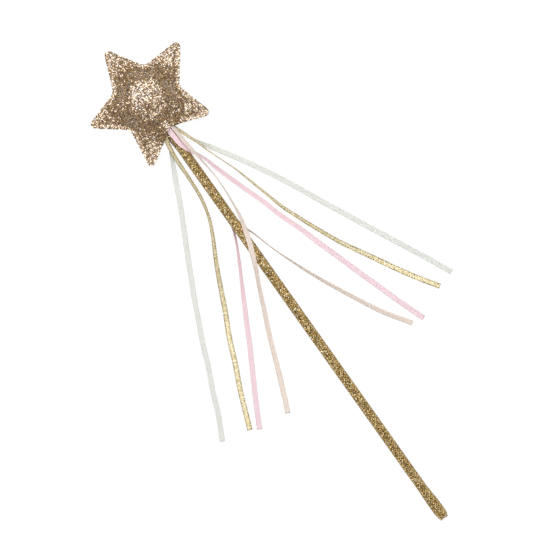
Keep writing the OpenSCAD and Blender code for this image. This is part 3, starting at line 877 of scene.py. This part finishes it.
class WAND_OT_star_panels(bpy.types.Operator):
    """Puffs the two star panels as stuffed cloth and covers them with glitter flakes"""

    bl_idname = "wand.star_panels"
    bl_label = "Star panels"

    def execute(self, context):
        settings = context.scene.wand_star
        backing, flakes = glitter_backing_material(), glitter_flake_material()
        for node, side in (("star_front", 1), ("star_back", -1)):
            skin = self.panel_skin(context, node, side, settings)
            panel = new_piece(node + "_panel", skin.copy(), backing)
            smooth_faces(panel.data)
            wall = panel.modifiers.new("fabric", "SOLIDIFY")
            wall.thickness = settings.fabric
            wall.offset = -1
            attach(panel, ROOT_BODY)
            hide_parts(node)
            glitter = new_piece(node + "_glitter", self.glitter(skin, side, settings), flakes)
            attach(glitter, ROOT_BODY)
            bpy.data.meshes.remove(skin)
        return {"FINISHED"}

    def panel_skin(self, context, node, side, settings):
        """The outer face of one panel: cloth pinned along its seam and puffed from inside."""
        flat, cells = star_cells(settings.cell / MM)
        solid = ray_finder(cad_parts[node].data)
        seam_face = SEAM_Z + side * FABRIC_T
        top = np.array([outer_height(solid, x, y, side, seam_face) for x, y in flat])
        gap = outline_distance(flat, SEAM_BORDER)
        inside = outline_distance(flat, 0.0) > SEAM_BORDER + PINNED
        mouth = (np.abs(flat[:, 0]) < MOUTH_HALF) & (flat[:, 1] < MOUTH_TOP)
        held = ~inside | mouth
        start = seam_face + (top - seam_face) * np.where(held, 1, 0.9)
        mesh = bpy.data.meshes.new(node)
        mesh.from_pydata(np.column_stack([flat, start]).tolist(), [], cells)
        mesh.update()
        if side < 0:
            mesh.flip_normals()
        puffed = self.stuffed(context, mesh, held, settings)
        # no point strays far from the solid's own form, and the back stays flat where it rests
        free = np.clip(gap / 2, 0, 1)
        z = top + np.clip(puffed[:, 2] - top, -STRAY_DOWN, STRAY_UP) * free
        groove = GROOVE * np.clip(1 - gap / GROOVE_HALF, 0, 1) ** 2
        wave = np.array([border_wave(x, y) for x, y in flat]) * free
        z += np.where(mouth, 0, np.where(inside, 0, wave) - side * groove)
        if side < 0:
            z = np.maximum(z, BACK_HEIGHT)
        out = np.column_stack([np.where(held[:, None], flat, puffed[:, :2]), z])
        set_points(mesh, (out - np.array(MIDDLE)) * MM)
        return mesh

    @staticmethod
    def stuffed(context, mesh, held, settings):
        """Cloth simulation of one panel, ten times as large, and its points in millimetres."""
        scale, frames = 0.01, 24
        work = mesh.copy()
        set_points(work, get_points(work) * scale)
        obj = new_piece("stuffing_" + mesh.name, work)
        pins = obj.vertex_groups.new(name="seam")
        pins.add(np.flatnonzero(held).tolist(), 1.0, "REPLACE")
        cloth = obj.modifiers.new("cloth", "CLOTH")
        values = {
            "quality": 8, "mass": 0.2, "tension_stiffness": 12, "compression_stiffness": 12,
            "shear_stiffness": 4, "bending_stiffness": 0.2, "vertex_group_mass": "seam",
            "use_pressure": True, "uniform_pressure_force": settings.pressure,
            "shrink_min": -settings.slack,
        }
        for name, value in values.items():
            setattr(cloth.settings, name, value)
        cloth.settings.effector_weights.gravity = 0
        cloth.collision_settings.use_collision = False
        cloth.point_cache.frame_start = 1
        cloth.point_cache.frame_end = frames
        for step in range(frames):
            context.scene.frame_set(1 + step)
        done = evaluated_mesh(obj)
        points = get_points(done) / scale
        bpy.data.meshes.remove(done)
        bpy.data.meshes.remove(work)
        context.scene.frame_set(1)
        return points

    @staticmethod
    def glitter(skin, side, settings):
        """Thin hexagons scattered over a panel, each with a tilt and a shade of its own."""
        draw = np.random.default_rng(41 if side > 0 else 43)
        skin.calc_loop_triangles()
        corners = np.array([t.vertices for t in skin.loop_triangles])
        normals = get_points(skin, "normal")
        tri = get_points(skin)[corners]
        area = np.linalg.norm(np.cross(tri[:, 1] - tri[:, 0], tri[:, 2] - tri[:, 0]), axis=1)
        pick = draw.choice(len(tri), FLAKE_TRIES, p=area / area.sum())
        a, b = draw.random(FLAKE_TRIES), draw.random(FLAKE_TRIES)
        a, b = np.where(a + b > 1, 1 - a, a), np.where(a + b > 1, 1 - b, b)
        share = np.column_stack([1 - a - b, a, b])[:, :, None]
        spots = (tri[pick] * share).sum(axis=1)
        ways = (normals[corners[pick]] * share).sum(axis=1)
        kept = spread_out(spots, settings.spacing)
        spots, ways = spots[kept], ways[kept]
        count = len(spots)
        bm = bmesh.new()
        bmesh.ops.create_cone(
            bm, cap_ends=True, cap_tris=False, segments=6, radius1=1, radius2=0.94, depth=0.12
        )
        mesh = new_mesh("flake", bm)
        one = get_points(mesh)
        obj = new_piece("flake", mesh)
        copies = obj.modifiers.new("copies", "ARRAY")
        copies.count = count
        copies.use_relative_offset = False
        made = evaluated_mesh(obj)
        bpy.data.meshes.remove(mesh)
        tilt = draw.normal(0, settings.tilt, count)
        sway = draw.random(count) * math.tau
        spin = draw.random(count) * math.tau
        size = settings.flake * (0.8 + 0.4 * draw.random(count))
        lift = (0.02 + 0.09 * draw.random(count)) * MM
        places = np.empty((count, len(one), 3))
        for n in range(count):
            turn = Vector(ways[n]).to_track_quat("Z", "Y").to_matrix()
            for angle, axis in ((sway[n], "Z"), (tilt[n], "X"), (spin[n], "Z")):
                turn = turn @ Matrix.Rotation(angle, 3, axis)
            places[n] = size[n] * one @ np.array(turn).T + spots[n] + lift[n] * ways[n]
        if side < 0:
            places[..., 2] = np.maximum(places[..., 2], FLAKE_HEIGHT * MM)
        set_points(made, places.reshape(-1, 3))
        set_values(made, "shade", np.repeat(draw.random(count), len(one)))
        smooth_faces(made, False)
        return made


class WAND_OT_star_filling(bpy.types.Operator):
    """Fills the star with lumpy wadding"""

    bl_idname = "wand.star_filling"
    bl_label = "Star filling"

    def execute(self, context):
        bm = bmesh.new()
        bm.from_mesh(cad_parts["star_filling"].data)
        bmesh.ops.remove_doubles(bm, verts=bm.verts, dist=0.01 * MM)
        mesh = new_mesh("star_wadding", bm)
        obj = new_piece("star_wadding_solid", mesh)
        grid = obj.modifiers.new("grid", "REMESH")
        grid.mode = "VOXEL"
        grid.voxel_size = 1.1 * MM
        soft = obj.modifiers.new("soft", "SMOOTH")
        soft.iterations = 2
        made = evaluated_mesh(obj)
        bpy.data.meshes.remove(mesh)
        co = get_points(made)
        lump = np.array([noise.noise(Vector(p) / (LUMP * MM)) for p in co])
        # the lumps lie below the solid's face, so that they stay inside the panels
        depth = (lump - 0.6) * LUMP_DEPTH * MM
        set_points(made, co + get_points(made, "normal") * depth[:, None])
        smooth_faces(made)
        filling = new_piece("star_wadding", made, wadding_material())
        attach(filling, ROOT_BODY)
        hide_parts("star_filling")
        return {"FINISHED"}


class WAND_OT_seam_stitches(bpy.types.Operator):
    """Sews the stitches of the star's seam, front and back"""

    bl_idname = "wand.seam_stitches"
    bl_label = "Seam stitches"

    def execute(self, context):
        settings = context.scene.wand_star
        ring = star_outline(SEAM_BORDER - STITCH_OUT, settings.stitch / MM / STITCH_CELLS)
        lines = []
        for panel, side in (("star_front_panel", 1), ("star_back_panel", -1)):
            skin = ray_finder(bpy.data.objects[panel].data)
            for n in range(len(ring) // STITCH_CELLS):
                run = [ring[(STITCH_CELLS * n + j) % len(ring)] for j in range(STITCH_CELLS - 1)]
                x, y = run[len(run) // 2]
                if y < 0 and abs(x) < STITCH_FREE:
                    continue
                points = []
                for j, (x, y) in enumerate(run):
                    arch = 0.22 - 0.5 * abs(j / 3 - 1) ** 3
                    points.append(placed(x, y, outer_height(skin, x, y, side, SEAM_Z) + side * arch))
                lines.append(np.array(points))
        mesh = strand_mesh("seam_stitches", lines, settings.thread, 6)
        smooth_faces(mesh)
        stitches = new_piece("seam_stitches", mesh, thread_material())
        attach(stitches, ROOT_BODY)
        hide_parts("seam_thread")
        return {"FINISHED"}


class WAND_OT_stick_sleeve(bpy.types.Operator):
    """Braids the gold sleeve over the stick, with a turned-in, frayed hem at the butt"""

    bl_idname = "wand.stick_sleeve"
    bl_label = "Stick sleeve"

    def execute(self, context):
        settings = context.scene.wand_stick
        finish = sleeve_material()
        sleeve = new_piece("stick_braid", self.braid(settings), finish)
        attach(sleeve, ROOT_BODY)
        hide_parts("stick_sleeve")
        fray = new_piece("stick_braid_fray", self.frayed(settings), finish)
        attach(fray, ROOT_BODY)
        return {"FINISHED"}

    @staticmethod
    def profile():
        """Marks of the sleeve's middle line: from the turned-in lip round the butt and up the stick.

        Each row is the distance along the line, height and radius, in millimetres.
        """
        hem, plain = HEM_R - 0.45, SLEEVE_R - 0.3
        lip = ((0.55, 1.3), (0.2, 1.75), (0.3, 2.25), (0.75, 2.62), (1.6, 2.9), (2.8, 3.1))
        full, slim = HEM_LENGTH, HEM_LENGTH + HEM_TAPER
        marks = np.array([
            *lip, (LIP_LENGTH, hem), (full, hem), (slim, plain),
            (STICK_LENGTH - slim, plain), (STICK_LENGTH - full, hem), (STICK_LENGTH, hem),
        ])
        return np.column_stack([distances(marks), marks])

    def braid(self, settings):
        """Two sets of flat strands that wind both ways, two over and two under, laid on the profile."""
        count, lay, thin, row = settings.carriers, settings.lay / MM, 0.42, 0.55
        marks = self.profile()
        at = np.linspace(0, marks[-1, 0], round(marks[-1, 0] / row))
        lines = []
        for way in (1, -1):
            for k in range(count):
                around = SLEEVE_R * math.tau * (k / count + way * at / lay)
                crossing = k + way * 2 * count * at / lay
                wave = way * settings.wave / MM * np.cos(math.pi / 2 * (crossing + k - 0.5))
                lines.append(np.column_stack([around, at, wave / thin]))
        mesh = strand_mesh("stick_braid", lines, settings.strand / MM, 4)
        set_strand_uv(mesh, len(lines), at, 13.7)
        around, along, over = get_points(mesh).T
        slope = np.gradient(marks[:, 1:], marks[:, 0], axis=0)
        height, radius, rise, spread = (
            np.interp(along, marks[:, 0], column) for column in (*marks[:, 1:].T, *slope.T)
        )
        turn = around / SLEEVE_R
        out = radius + thin * over * rise
        lean = HEM_LEAN * np.clip(1 - height / (HEM_LENGTH + HEM_TAPER), 0, 1)
        height = height - thin * over * spread
        return set_on_stick(mesh, np.column_stack([out * np.cos(turn) + lean, out * np.sin(turn), height]))

    @staticmethod
    def frayed(settings):
        """Short loose fibres that stand out round the lip."""
        draw = random.Random(7)
        lines = []
        for _ in range(settings.fray):
            a, r = draw.uniform(0, math.tau), draw.uniform(1.4, 2.5)
            reach, flare = draw.uniform(0.4, 1.2), draw.uniform(-0.2, 0.5)
            bend = draw.uniform(-0.5, 0.5)
            points = []
            for t in (0, 0.33, 0.67, 1):
                rr, aa = r + flare * t * t, a + bend * t * t * 0.3
                points.append((rr * math.cos(aa) + HEM_LEAN, rr * math.sin(aa), 0.4 - reach * t))
            lines.append(np.array(points))
        mesh = strand_mesh("stick_braid_fray", lines, FIBRE_R, 4)
        along = np.arange(len(mesh.vertices)) * 0.21
        set_uv(mesh, "strand", np.column_stack([np.zeros(len(along)), along]))
        return set_on_stick(mesh, get_points(mesh))


class WAND_OT_stick_dowel(bpy.types.Operator):
    """Gives the dowel its wood"""

    bl_idname = "wand.stick_dowel"
    bl_label = "Stick dowel"

    def execute(self, context):
        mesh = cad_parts["stick_dowel"].data
        mesh.materials.clear()
        mesh.materials.append(beech_material())
        return {"FINISHED"}


class WAND_OT_ribbon_binding(bpy.types.Operator):
    """Winds the thread that binds the ribbon roots to the stick"""

    bl_idname = "wand.ribbon_binding"
    bl_label = "Ribbon binding"

    def execute(self, context):
        turns, radius = BINDING_TURNS, BINDING_THREAD_R
        start = (MOUTH_Y + 2 - BUTT.y) / math.cos(LAY_ANGLE)
        t = np.linspace(0, 1, turns * 40)
        turn = math.tau * turns * t
        r = BINDING_R + radius + 0.04 * np.sin(5.3 * turn)
        rise = start + radius + t * (BINDING_LENGTH - 2 * radius)
        line = np.column_stack([r * np.cos(turn), r * np.sin(turn), rise])
        mesh = strand_mesh("ribbon_binding", [line], radius, 8)
        set_on_stick(mesh, get_points(mesh))
        winding = new_piece("ribbon_binding_thread", mesh, bpy.data.materials["sewing_thread"])
        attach(winding, ROOT_BODY)
        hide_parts("ribbon_binding")
        return {"FINISHED"}


OPERATORS = (
    WAND_OT_stage,
    WAND_OT_satin_ribbons,
    WAND_OT_gold_ribbons,
    WAND_OT_star_panels,
    WAND_OT_star_filling,
    WAND_OT_seam_stitches,
    WAND_OT_stick_sleeve,
    WAND_OT_stick_dowel,
    WAND_OT_ribbon_binding,
)
SETTINGS = {
    "wand_star": WandStarSettings,
    "wand_stick": WandStickSettings,
    "wand_ribbon": WandRibbonSettings,
    "wand_stage": WandStageSettings,
}


class WAND_PT_panel(bpy.types.Panel):
    """The wand's operators and settings"""

    bl_idname = "WAND_PT_panel"
    bl_label = "Toy magic wand"
    bl_space_type = "VIEW_3D"
    bl_region_type = "UI"
    bl_category = "Wand"

    def draw(self, context):
        for operator in OPERATORS:
            self.layout.operator(operator.bl_idname)
        for name, group in SETTINGS.items():
            box = self.layout.box()
            for field in group.__annotations__:
                box.prop(getattr(context.scene, name), field)


CLASSES = (*SETTINGS.values(), *OPERATORS, WAND_PT_panel)


def register():
    """Registers the classes and hangs the settings on the scene."""
    for cls in CLASSES:
        bpy.utils.register_class(cls)
    for name, group in SETTINGS.items():
        setattr(bpy.types.Scene, name, PointerProperty(type=group))


def unregister():
    """Takes the settings and the classes away again."""
    for name in SETTINGS:
        delattr(bpy.types.Scene, name)
    for cls in reversed(CLASSES):
        bpy.utils.unregister_class(cls)


def main():
    """Builds the wand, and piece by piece."""
    register()
    bpy.ops.wand.stage()
    bpy.ops.wand.satin_ribbons()
    bpy.ops.wand.gold_ribbons()
    bpy.ops.wand.star_panels()
    bpy.ops.wand.star_filling()
    bpy.ops.wand.seam_stitches()
    bpy.ops.wand.stick_sleeve()
    bpy.ops.wand.stick_dowel()
    bpy.ops.wand.ribbon_binding()


if __name__ == "__main__":
    main()
